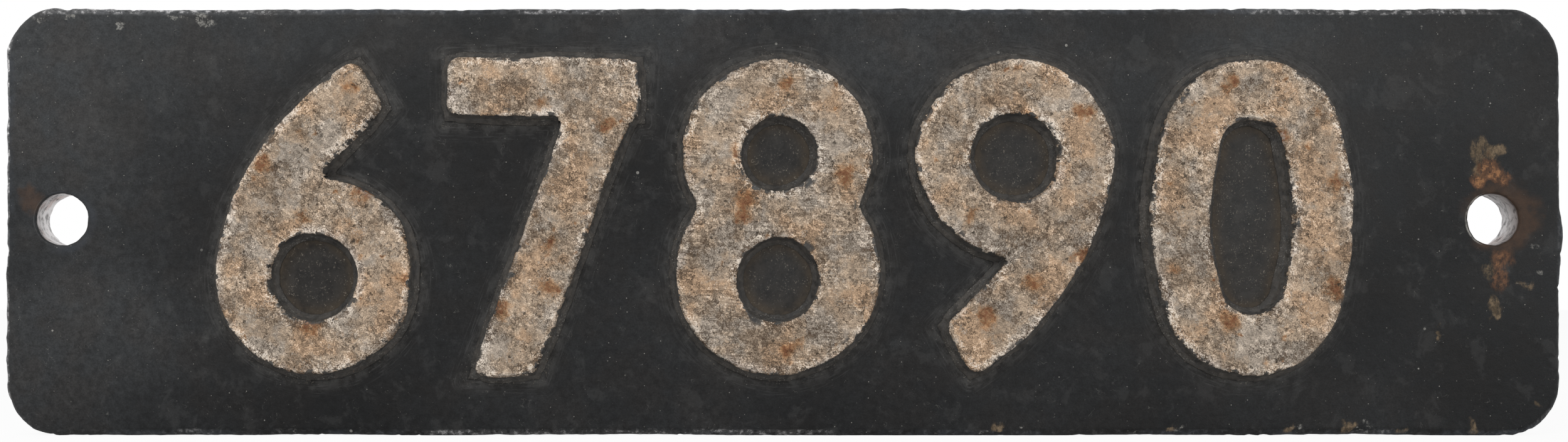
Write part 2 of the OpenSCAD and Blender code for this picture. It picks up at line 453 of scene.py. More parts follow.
def hex_grid(half, step):
    """Points of a triangular grid that covers a rectangle"""
    rows = np.arange(-half[1], half[1], step * math.sqrt(3) / 2)
    columns = np.arange(-half[0], half[0], step)
    grid = [np.column_stack([columns + step / 2 * (index % 2), np.full(len(columns), row)])
            for index, row in enumerate(rows)]
    return np.concatenate(grid)


def inside_outline(points, half, radius):
    """How far each point lies inside a rectangle with round corners, up to the corners' radius"""
    return radius - lengths(np.maximum(np.abs(points) - (half - radius), 0))


def within_loop(points, loop):
    """True for the points inside a closed loop"""
    start = loop[None]
    end = np.roll(loop, -1, axis=0)[None]
    across, up = points[:, None, 0], points[:, None, 1]
    spans = (start[..., 1] > up) != (end[..., 1] > up)
    rise = np.where(spans, end[..., 1] - start[..., 1], 1.0)
    crossing = start[..., 0] + (up - start[..., 1]) * (end[..., 0] - start[..., 0]) / rise
    return (spans & (across < crossing)).sum(axis=1) % 2 == 1


def triangulate(loops, loose):
    """Triangles between an outer loop and the loops inside it, through loose points as well"""
    points = np.concatenate(loops + [loose])
    edges = []
    start = 0
    owner = np.full(len(points), -1)
    for number, loop in enumerate(loops):
        count = len(loop)
        edges += [(start + index, start + (index + 1) % count) for index in range(count)]
        owner[start:start + count] = number
        start += count
    corners = [Vector(point) for point in points.tolist()]
    inside_only = 1
    flat, _, faces, _, _, _ = delaunay_2d_cdt(corners, edges, [], inside_only, 1e-8, False)
    if len(flat) != len(corners):
        raise RuntimeError("the plate's face was cut in the wrong places")
    faces = np.array(faces)
    corner_loop = owner[faces]
    keep = np.ones(len(faces), dtype=bool)
    for number, loop in enumerate(loops):
        doubtful = np.flatnonzero((corner_loop == number).all(axis=1))
        inside = within_loop(points[faces[doubtful]].mean(axis=1), loop)
        keep[doubtful] = inside if number == 0 else ~inside
    return faces[keep]


def ring_faces(starts, count):
    """Four-sided faces between neighbouring rings of points"""
    faces = []
    for upper, lower in itertools.pairwise(starts):
        for index in range(count):
            after = (index + 1) % count
            faces.append((upper + index, upper + after, lower + after, lower + index))
    return faces


def cast_surface(points, plate):
    """Height of the cast front above its mean plane"""
    spread = in_plane(points)
    height = plate.sway * layered_noise(spread, 70 * MM, 31, 2)
    height += 0.05 * MM * layered_noise(spread, 9 * MM, 41)
    pits = smooth_step(lattice_noise(spread, 3.2 * MM, 51), 0.62, 0.9)
    return height - 0.12 * MM * pits


def edge_rings(plate):
    """Rings of points down the plate's worn edge, from the front to the back"""
    outline, normals = rounded_outline(PLATE_HALF, plate.corner_radius, plate.grid_step)
    shift = worn_outline(outline, normals, plate)
    chips = edge_chips(outline, plate)
    rings = []
    for inset, depth in edge_profile(plate):
        front_share = 1 - smooth_step(depth, 0.5 * plate.edge_round, 2.2 * plate.edge_round)
        chip_share = front_share * (0.2 + 0.8 * smooth_step(depth, 0, 0.3 * plate.edge_round))
        drift = shift * (0.4 + 0.6 * front_share) - chips * chip_share
        flat = outline + normals * (drift - inset)[:, None]
        rough = 0.10 * MM * lattice_noise(in_plane(flat, depth), 1.8 * MM, 61)
        flat = flat + normals * rough[:, None]
        sunk = depth + 0.5 * chips * chip_share * (depth < plate.edge_round)
        rings.append(np.column_stack([flat[:, 0], FRONT + sunk, flat[:, 1]]))
    return rings


def bore_rings(hole, plate):
    """Rings of points down the wall of a bolt hole, from its front rim to its back rim"""
    radius = hole["dims"]["r_mm"] * MM
    count = round(2 * math.pi * radius / (0.8 * plate.grid_step))
    angles = np.linspace(0, 2 * math.pi, count, endpoint=False)
    facing = np.column_stack([np.cos(angles), np.sin(angles)])
    rim = plate.back_round
    steps = [(rim + HOLE_LAND, 0.0), (rim, 0.0), (0.3 * rim, 0.3 * rim)]
    steps += [(0.0, depth) for depth in np.linspace(rim, THICKNESS - rim, 12)]
    steps += [(0.3 * rim, THICKNESS - 0.3 * rim), (rim, THICKNESS)]
    rings = []
    for outset, depth in steps:
        flat = hole_place(hole) + facing * (radius + outset)
        if 0 < depth < THICKNESS:
            rough = 0.22 * MM * layered_noise(in_plane(flat, depth), 2.4 * MM, 71)
            flat = flat + facing * rough[:, None]
        rings.append(in_plane(flat, FRONT + depth))
    return rings


def loose_points(inset, plate, step):
    """Grid points on the plate's flat, clear of its edge and of the holes"""
    half = PLATE_HALF - inset
    grid = hex_grid(half, step)
    margin = 0.7 * step
    edge_margin = margin + 0.9 * MM
    grid = grid[inside_outline(grid, half - edge_margin, plate.corner_radius - edge_margin) > 0]
    for hole in HOLES:
        grid = grid[outside_hole(grid, hole) > plate.back_round + HOLE_LAND + margin]
    return grid


def plate_mesh(plate):
    """Points and faces of the plate, and the first point of each ring down each hole"""
    walls = [edge_rings(plate)] + [bore_rings(hole, plate) for hole in HOLES]
    groups = [ring for wall in walls for ring in wall]
    wall_starts = []
    faces = []
    count = 0
    for number, wall in enumerate(walls):
        size = len(wall[0])
        starts = [count + size * ring for ring in range(len(wall))]
        strip = ring_faces(starts, size)
        faces += strip if number else [face[::-1] for face in strip]
        wall_starts.append(starts)
        count += size * len(wall)

    front_grid = loose_points(edge_profile(plate)[0][0], plate, plate.grid_step)
    back_grid = loose_points(plate.back_round, plate, plate.back_step)
    for side, grid, depth in ((0, front_grid, FRONT), (-1, back_grid, PLATE_HIGH[1])):
        loops = [wall[side][:, [0, 2]] for wall in walls]
        numbers = [starts[side] + np.arange(len(loop)) for starts, loop in zip(wall_starts, loops)]
        numbers = np.concatenate(numbers + [count + np.arange(len(grid))])
        cap = numbers[triangulate(loops, grid)]
        faces += (cap if side == 0 else cap[:, ::-1]).tolist()
        groups.append(in_plane(grid, depth))
        count += len(grid)
    return np.concatenate(groups), faces, wall_starts[1:]


class NUMBERPLATE_OT_cast_plate(bpy.types.Operator):
    """Builds the plate with its worn edge, bolt holes and black paint"""

    bl_idname = "numberplate.cast_plate"
    bl_label = "Cast Plate"

    def execute(self, context):
        settings = context.scene.number_plate
        plate = settings.plate
        vertices, faces, bore_starts = plate_mesh(plate)
        depth = vertices[:, 1] - FRONT
        carried = 1 - smooth_step(depth, 0.3 * plate.edge_round, plate.edge_round)
        vertices[:, 1] -= carried * cast_surface(vertices[:, [0, 2]], plate)
        attributes = self.marks(vertices, plate.corner_radius)
        attributes.update(self.bore_marks(vertices, depth, bore_starts, plate.back_round))
        piece = new_piece("cast_plate", vertices, faces, attributes)
        seat_piece(piece, PLATE_NODE, PlatePaint(settings.paint).build())
        return {"FINISHED"}

    def marks(self, vertices, corner):
        """Values from 0 to 1 that say where grime, rust, stains and scuffs lie, and where light is painted: sheen
        and glints along the edges, highlights round the holes, and a lighter top edge and left end
        """
        flat = vertices[:, [0, 2]]
        on_front = smooth_step(FRONT - vertices[:, 1], -3.5 * MM, -1.5 * MM)
        left = hole_place(LEFT_HOLE)
        right = hole_place(RIGHT_HOLE)
        from_edge = inside_outline(flat, PLATE_HALF, corner)
        left_end = smooth_step(-flat[:, 0], PLATE_HALF[0] - 30 * MM, PLATE_HALF[0] - 5 * MM)
        # painted sheen: a band along the edge, twice as wide at the left end, where the white room's reflection is
        # painted blue-grey
        edge_sheen = smooth_step(-from_edge, -SHEEN_BAND * (1 + left_end), 0)
        stain = np.maximum(spots(flat, RIGHT_HOLE_STAIN, right), spots(flat, LEFT_HOLE_STAIN, left))
        stain *= on_front
        # painted sheen round the holes' rims, left out where they are stained
        hole_rim_sheen = self.hole_rim_sheen(flat) * on_front * (1 - np.minimum(2 * stain, 1))
        dirt = np.maximum(spots(flat, RIGHT_HOLE_DIRT, right), spots(flat, LOWER_EDGE_DIRT))
        grime, figure_gap = near_figures(flat)
        return {
            "grime": grime * on_front,
            "figure_gap": figure_gap,
            "rust": spots(flat, RIGHT_HOLE_RUST, right) * on_front,
            "dirt": dirt * on_front,
            "stain": stain,
            "scuff": spots(flat, TOP_EDGE_SCUFFS + LOWER_EDGE_SCUFFS) * on_front,
            "washer": self.washer_mark(flat - left) * on_front,
            "edge": np.maximum(edge_sheen, 0.75 * hole_rim_sheen),
            "painted_light": self.painted_light(*(flat / PLATE_HALF).T),
            "glint": self.glints(flat, from_edge),
        }

    def washer_mark(self, away):
        """Part of a ring round the left hole, on its lower right"""
        reach = lengths(away)
        lower_right = away @ np.array([0.85, -0.5]) / np.maximum(reach, MM)
        return bell(reach, WASHER_RADIUS, 1.3 * MM) * smooth_step(lower_right, -0.1, 0.6)

    def hole_rim_sheen(self, flat):
        """Thin rings of painted sheen round both holes, where their rims catch the light"""
        return np.maximum(*(bell(outside_hole(flat, hole), 0.7 * MM, 0.6 * MM) for hole in HOLES))

    def bore_marks(self, vertices, depth, bore_starts, rim):
        """Where the iron in the holes is bare, its painted backlight, brighter towards the back, and the painted
        highlight on their worn front rims
        """
        bare, rubbed = np.zeros((2, len(vertices)))
        backlight = np.ones(len(vertices))
        for (hole, front_backlight, back_backlight, rim_shine), starts in zip(HOLE_LIGHT_AND_WEAR, bore_starts):
            wall = slice(starts[0], 2 * starts[-1] - starts[-2])
            inner = smooth_step(THICKNESS - depth[wall], 0, rim)
            bare[wall] = smooth_step(depth[wall], rim, 2 * rim) * inner
            place = vertices[wall, 1]
            # painted backlight: the iron brighter from the front of the hole to its back
            backlight[wall] = front_backlight + (back_backlight - front_backlight) * (place - place.min()) / np.ptp(place)
            # painted highlight on the worn front rim, strongest on its left
            front_rim = slice(starts[1], starts[2])
            away = vertices[front_rim][:, [0, 2]] - hole_place(hole)
            leftward = -away[:, 0] / lengths(away)
            rubbed[front_rim] = rim_shine * (0.35 + 0.65 * smooth_step(leftward, 0.2, 0.8))
        return {"bore": bare, "bore_backlight": backlight, "rim_highlight": rubbed}

    def glints(self, flat, from_edge):
        """Painted glints, with nicks of bright bare metal, along the very edge, on the left end and on the left of
        the top
        """
        across, up = flat.T
        half_length, half_height = PLATE_HALF
        at_edge = smooth_step(-from_edge, -2.5 * MM, -1.7 * MM)
        left_end = smooth_step(-across, half_length - 4 * MM, half_length - 2 * MM)
        left_end *= 0.3 + 0.7 * smooth_step(up, -30 * MM, 40 * MM)
        top = smooth_step(up, half_height - 3 * MM, half_height)
        top *= smooth_step(-across, 150 * MM, 240 * MM)
        patches = smooth_step(layered_noise(in_plane(flat), 38 * MM, 57, 2), 0.1, 0.7)
        here_and_there = 0.03 + 0.22 * patches
        return at_edge * np.maximum(np.maximum(left_end, 0.7 * top), here_and_there)

    def painted_light(self, across, up):
        """Painted light: the black paint made lighter along the top edge, less to the right, and in the left
        corners
        """
        top = smooth_step(up, 0.25, 0.95) * (1 - smooth_step(across, 0.5, 0.9))
        corner = smooth_step(-across, 0.5, 0.95) * (0.35 + 0.65 * smooth_step(np.abs(up), 0.1, 0.7))
        return np.maximum(top, 1.3 * corner)


def evenly_spaced(loop, step):
    """Points along a closed loop, no further apart than a step"""
    samples = []
    for start, end in zip(loop, np.roll(loop, -1, axis=0)):
        count = math.ceil(np.hypot(*(end - start)) / step)
        samples.append(start + (end - start) * (np.arange(count) / count)[:, None])
    return np.concatenate(samples)


def foot_loops(mesh):
    """Closed loops round a figure's foot, by length and height: the outline, then the counters"""
    points = np.array([vertex.co for vertex in mesh.vertices])
    merged = np.unique(np.rint(points / (0.01 * MM)), axis=0, return_inverse=True)[1].reshape(-1)
    places = np.zeros((merged.max() + 1, 3))
    places[merged] = points
    lowest = places[:, 1] > places[:, 1].max() - 0.02 * MM
    sides = {}
    for face in mesh.polygons:
        corners = merged[list(face.vertices)].tolist()
        if lowest[corners].all():
            sides.update(dict.fromkeys(zip(corners, corners[1:] + corners[:1])))
    after = {here: there for here, there in sides if (there, here) not in sides}
    loops = []
    while after:
        first, place = after.popitem()
        loop = [first]
        while place != first:
            loop.append(place)
            place = after.pop(place)
        loops.append(evenly_spaced(places[loop][:, [0, 2]], FOOT_STEP))
    return sorted(loops, key=len, reverse=True)


def near_figures(flat):
    """Dirt caught by the figures, most of it in the spaces that they close in, and the gap to the
    nearest figure as a share of the reach of the brush strokes round it"""
    figures = [foot_loops(frame["nodes"][name].data) for name in FIGURE_NODES]
    gap = nearest(flat, np.concatenate([loop for loops in figures for loop in loops]))[1]
    caught = 0.38 * np.exp(-gap / (2.5 * MM))
    stroke_gap = np.minimum(gap / STROKE_REACH, 1)
    for counter in [loop for loops in figures for loop in loops[1:]]:
        middle = counter.mean(axis=0)
        wider = 1.15 * (counter - middle)
        from_middle = flat - middle
        close_by = np.flatnonzero((np.abs(from_middle) < np.abs(wider).max(axis=0)).all(axis=1))
        inside = close_by[within_loop(from_middle[close_by], wider)]
        caught[inside] = 0.30 + 0.70 * np.exp(-gap[inside] / (2.6 * MM))
        stroke_gap[inside] = 1
    return caught, stroke_gap


class NUMBERPLATE_OT_raised_figures(bpy.types.Operator):
    """Builds the raised figures with hand-cut outlines and worn cream paint"""

    bl_idname = "numberplate.raised_figures"
    bl_label = "Raised Figures"

    def execute(self, context):
        settings = context.scene.number_plate
        for index, name in enumerate(FIGURE_NODES):
            vertices, faces = self.fine_mesh(frame["nodes"][name], settings.figures.voxel)
            attributes = self.wear(vertices, settings.figures, FIGURE_SEED + SEED_STEP * index)
            piece = new_piece("raised_" + name.split("_")[1], vertices, faces, attributes)
            seat_piece(piece, name, FigurePaint(settings.paint, index).build())
        return {"FINISHED"}

    def fine_mesh(self, node, voxel):
        """Points and faces of a fine even mesh of one figure"""
        working = node.copy()
        bpy.context.scene.collection.objects.link(working)
        remesh = working.modifiers.new("fine", "REMESH")
        remesh.mode = "VOXEL"
        remesh.voxel_size = voxel
        soften = working.modifiers.new("soften", "SMOOTH")
        soften.factor = 0.5
        soften.iterations = 18
        ready = working.evaluated_get(bpy.context.evaluated_depsgraph_get())
        mesh = bpy.data.meshes.new_from_object(ready)
        vertices = np.empty(len(mesh.vertices) * 3)
        mesh.vertices.foreach_get("co", vertices)
        faces = [tuple(face.vertices) for face in mesh.polygons]
        bpy.data.objects.remove(working)
        bpy.data.meshes.remove(mesh)
        return vertices.reshape(-1, 3), faces

    def wear(self, vertices, figures, seed):
        """Wears the figure's points in place and returns where its face, rim, lip and foot lie, and where the rim
        faces lower left, for a painted highlight
        """
        depth = vertices[:, 1] - vertices[:, 1].min()
        relief = depth.max()
        on_face = depth < FACE_DEPTH
        rim_gap, toward_rim = self.gap_to_wall(vertices, on_face, depth)
        # rims that face lower left get a painted highlight
        lower_left_highlight = smooth_step(toward_rim @ np.array([-0.8, -0.6]), -0.1, 0.7)
        rim_points = np.flatnonzero(on_face & (rim_gap < RIM_LAND))
        self.round_corners(vertices, rim_points, on_face, figures.corner_wear)
        plan = in_plane(vertices[:, [0, 2]])

        rim = np.where(on_face, 1 - np.clip(rim_gap / figures.rim_width, 0, 1), 1.0)
        wall_lip = 1 - smooth_step(depth, 0.6 * MM, 1.8 * MM)
        lip = np.where(on_face, bell(rim_gap, 0, 1.3 * MM), wall_lip)
        dents = figures.face_dent * layered_noise(plan, 7 * MM, seed)
        dents += 0.08 * MM * layered_noise(plan, 2.0 * MM, seed + 4, 2)
        ragged = figures.rim_wear * smooth_step(lattice_noise(plan, 5.0 * MM, seed + 8), 0.0, 0.9)
        at_rim = np.where(on_face, smooth_step(-rim_gap, -2.0 * MM, 0), 1.0)
        upper = 1 - smooth_step(depth, 0.35 * relief, 0.9 * relief)
        vertices[:, 1] += (dents + ragged * at_rim) * upper

        for axis, first in ((0, seed + 20), (2, seed + 30)):
            warp = lattice_noise(plan, 30 * MM, first) + 0.9 * lattice_noise(plan, 11 * MM, first + 1)
            jag = 0.30 * upper * lattice_noise(plan, 4.0 * MM, first + 5)
            vertices[:, axis] += figures.outline_warp * (warp + jag)
        vertices[:, 1] += figures.foot_sink * (depth > relief - 0.3 * MM)
        run_down = 2.0 * MM * smooth_step(lattice_noise(plan, 20 * MM, seed + 40), -0.1, 0.7)
        torn = 0.35 * MM * lattice_noise(plan, 1.6 * MM, seed + 44)
        face = 1 - smooth_step(depth + torn - run_down, 0.3 * MM, 1.3 * MM)
        foot = smooth_step(depth, 0.45 * relief, relief)
        return {"face": face, "rim": rim, "lip": lip, "foot": foot, "lower_left_highlight": lower_left_highlight}

    def round_corners(self, vertices, rim_points, on_face, radius):
        """Wears the corners of the outline: it moves to where half of a soft disc lies on the face"""
        flat = vertices[:, [0, 2]]
        cell = 0.6 * MM
        margin = 4 * radius
        low = flat.min(axis=0) - margin
        size = np.ceil((flat.max(axis=0) + margin - low) / cell).astype(int) + 1
        cover = np.zeros(size)
        places = np.rint((flat[on_face] - low) / cell).astype(int)
        cover[places[:, 0], places[:, 1]] = 1
        reach = math.ceil(3 * radius / cell)
        disc = bell(np.arange(-reach, reach + 1) * cell, 0, math.sqrt(2) * radius)
        disc /= disc.sum()
        for axis in (0, 1):
            cover = np.apply_along_axis(np.convolve, axis, cover, disc, "same")
        slope = np.stack(np.gradient(cover, cell), axis=-1)

        rim = flat[rim_points]
        sampled = self.between_cells(np.dstack([cover, slope]), (rim - low) / cell)
        level = sampled[:, 0]
        rise = sampled[:, 1:]
        steepness = np.maximum((rise ** 2).sum(axis=1), (0.08 / radius) ** 2)
        step = rise * ((0.5 - level) / steepness)[:, None]
        step *= np.minimum(1, 1.6 * radius / np.maximum(lengths(step), 1e-9))[:, None]

        rim_point, gap = nearest(flat, rim)
        weight = np.where(on_face, 1 - smooth_step(gap, 0, 4 * radius), 1.0)
        vertices[:, [0, 2]] += step[rim_point] * weight[:, None]

    def between_cells(self, grid, places):
        """Values of a grid at places that lie between its cells"""
        cell = np.floor(places).astype(int)
        part = places - cell
        total = 0
        for across, up in itertools.product((0, 1), repeat=2):
            weight = np.abs(1 - across - part[:, 0]) * np.abs(1 - up - part[:, 1])
            total = total + weight[:, None] * grid[cell[:, 0] + across, cell[:, 1] + up]
        return total

    def gap_to_wall(self, vertices, on_face, depth):
        """Distance and way to the wall from each point of the face, 0 on the wall itself"""
        wall = vertices[(depth > FACE_DEPTH) & (depth < WALL_TOP)][:, [0, 2]]
        face = vertices[on_face][:, [0, 2]]
        away = wall[nearest(face, wall)[0]] - face
        gap = np.zeros(len(vertices))
        gap[on_face] = lengths(away)
        toward = np.zeros((len(vertices), 2))
        toward[on_face] = away / np.maximum(lengths(away), 0.01 * MM)[:, None]
        return gap, toward


class NodeMixer:
    """Adds nodes to one node tree and joins them up"""

    def __init__(self, tree):
        self.tree = tree

    def node(self, kind, inputs=None, **settings):
        """A node with its settings, and its inputs linked or set"""
        node = self.tree.nodes.new(kind)
        for key, value in settings.items():
            setattr(node, key, value)
        for key, value in (inputs or {}).items():
            self.feed(node.inputs[key], value)
        return node

    def feed(self, socket, value):
        """Links a socket to another, or sets its value"""
        if isinstance(value, bpy.types.NodeSocket):
            self.tree.links.new(value, socket)
        elif hasattr(value, "__len__") and len(value) == 3 and len(socket.default_value) == 4:
            socket.default_value = (*value, 1.0)
        else:
            socket.default_value = value

    def math(self, operation, first, second=0.0):
        """One sum on two values"""
        return self.node("ShaderNodeMath", {0: first, 1: second}, operation=operation).outputs[0]

    def vector(self, operation, inputs):
        """One sum on vectors or colours"""
        return self.node("ShaderNodeVectorMath", inputs, operation=operation).outputs[0]

    def joined(self, operation, values):
        """One sum that takes in all values, from the first to the last"""
        total = values[0]
        for value in values[1:]:
            total = self.math(operation, total, value)
        return total

    def product(self, *values):
        """All values multiplied together"""
        return self.joined("MULTIPLY", values)

    def total(self, *values):
        """All values added together"""
        return self.joined("ADD", values)

    def highest(self, *values):
        """The highest of all values"""
        return self.joined("MAXIMUM", values)

    def mix(self, factor, first, second):
        """Colour that goes from first to second"""
        return self.node("ShaderNodeMix", {0: factor, 6: first, 7: second}, data_type="RGBA").outputs[2]

    def blend(self, factor, first, second):
        """Value that goes from first to second"""
        return self.node("ShaderNodeMix", {0: factor, 2: first, 3: second}).outputs[0]

    def shade(self, colour, value):
        """Colour made darker or lighter"""
        return self.vector("SCALE", {0: colour, "Scale": value})

    def window(self, value, low, high, start=0.0, end=1.0):
        """Goes smoothly from start at low to end at high"""
        return self.node("ShaderNodeMapRange", {
            "Value": value, "From Min": low, "From Max": high, "To Min": start, "To Max": end},
            interpolation_type="SMOOTHSTEP").outputs["Result"]

    def spread(self, value, weight):
        """A value about 0.5, as a weighted step up or down"""
        return self.product(self.math("SUBTRACT", value, 0.5), weight)

    def crease(self, value):
        """How far a value lies from 0.5, so that 0 draws thin lines"""
        return self.math("ABSOLUTE", self.spread(value, 1.0))

    def patch(self, strength, ragged, low, high):
        """1 where a mark is strong, with an edge torn by noise"""
        return self.window(self.product(strength, self.window(ragged, 0.3, 0.7, 0.4, 1.6)), low, high)

    def ramp(self, value, stops):
        """Colour that runs through a row of colours, each at its own value"""
        node = self.node("ShaderNodeValToRGB", {0: value})
        row = node.color_ramp.elements
        row[0].position = stops[0][0]
        row[-1].position = stops[-1][0]
        for position, _ in stops[1:-1]:
            row.new(position)
        for element, (_, colour) in zip(row, stops):
            element.color = (*colour, 1.0)
        return node.outputs["Color"]


class PaintMixer(NodeMixer):
    """Mixes one material, from patterns on the object and coats laid over each other"""

    def __init__(self, name):
        self.material = bpy.data.materials.new(name)
        self.material.use_nodes = True
        super().__init__(self.material.node_tree)
        self.shader = self.tree.nodes["Principled BSDF"]
        self.place = self.node("ShaderNodeTexCoord").outputs["Object"]
        apart = self.node("ShaderNodeSeparateXYZ", {0: self.place})
        flat = self.node("ShaderNodeCombineXYZ", {0: apart.outputs[0], 1: apart.outputs[2]})
        self.flat = flat.outputs[0]

    def attribute(self, name):
        """Value stored on the mesh"""
        return self.node("ShaderNodeAttribute", attribute_name=name).outputs["Fac"]

    def turned(self, turn, scale, move=(0, 0, 0), place=None):
        """Places on the front, moved, turned in the plate's plane and scaled along each axis"""
        moved = self.node("ShaderNodeMapping", {
            "Vector": place or self.flat, "Rotation": (0, 0, math.radians(turn)), "Location": move})
        return self.vector("MULTIPLY", {0: moved.outputs[0], 1: scale})

    def warped(self, scale, reach):
        """Places on the front, shifted about by noise"""
        noise = self.node("ShaderNodeTexNoise", {
            "Vector": self.flat, "Scale": scale, "Detail": 3.0}, noise_dimensions="2D")
        middle = self.vector("SUBTRACT", {0: noise.outputs["Color"], 1: (0.5, 0.5, 0.5)})
        return self.vector("ADD", {0: self.flat, 1: self.shade(middle, reach)})

    def noise(self, scale, detail=2.0, roughness=0.5, place=None, dimensions="3D", distortion=0.0):
        """Noise through the body or at a place, about 0.2 to 0.8; one wave is 1 / scale metres"""
        return self.node("ShaderNodeTexNoise", {
            "Vector": place or self.place, "Scale": scale, "Detail": detail, "Roughness": roughness,
            "Distortion": distortion}, noise_dimensions=dimensions).outputs["Fac"]

    def flat_noise(self, scale, detail=2.0, roughness=0.5, place=None):
        """The same kind of noise, spread over the front only"""
        return self.noise(scale, detail, roughness, place or self.flat, "2D")

    def layers(self, along, through, detail=4.0):
        """Noise in thin layers, one behind the other from the front to the back"""
        place = self.vector("MULTIPLY", {0: self.place, 1: (along, through, along)})
        return self.noise(1.0, detail, 0.68, place, distortion=0.5)

    def mosaic(self, place, scale=1.0):
        """A random value for each cell of a mosaic, and the distance to the middle of the cell"""
        cells = self.node("ShaderNodeTexVoronoi", {
            "Vector": place, "Scale": scale}, voronoi_dimensions="2D")
        chance = self.node("ShaderNodeSeparateColor", {0: cells.outputs["Color"]})
        return chance.outputs[0], cells.outputs["Distance"]

    def flakes(self, turn, across, up, place):
        """A random value for each flake of a torn and turned mosaic"""
        return self.mosaic(self.turned(turn, (across, up, 1), place=place))[0]

    def specks(self, scale, size, share, soft=0.3, place=None):
        """1 on round specks in a share of the cells of a random pattern on the front"""
        chance, distance = self.mosaic(place or self.flat, scale)
        radius = self.window(chance, 1 - share, 1.0, 0.0, size)
        return self.window(self.math("SUBTRACT", radius, distance), 0.0, soft * size)

    def lay(self, coat, *amounts):
        """Lays a colour over the others, as thickly as the product of the amounts"""
        self.colour = self.mix(self.product(*amounts), self.colour, coat)

    def finish(self, roughness, height, bump, distance):
        """Joins colour, roughness and bump to the shader"""
        raised = self.node("ShaderNodeBump", {"Height": height, "Strength": bump, "Distance": distance})
        self.feed(self.shader.inputs["Base Color"], self.colour)
        self.feed(self.shader.inputs["Roughness"], roughness)
        self.feed(self.shader.inputs["Normal"], raised.outputs[0])
        self.shader.inputs["Specular IOR Level"].default_value = SPECULAR
        return self.material


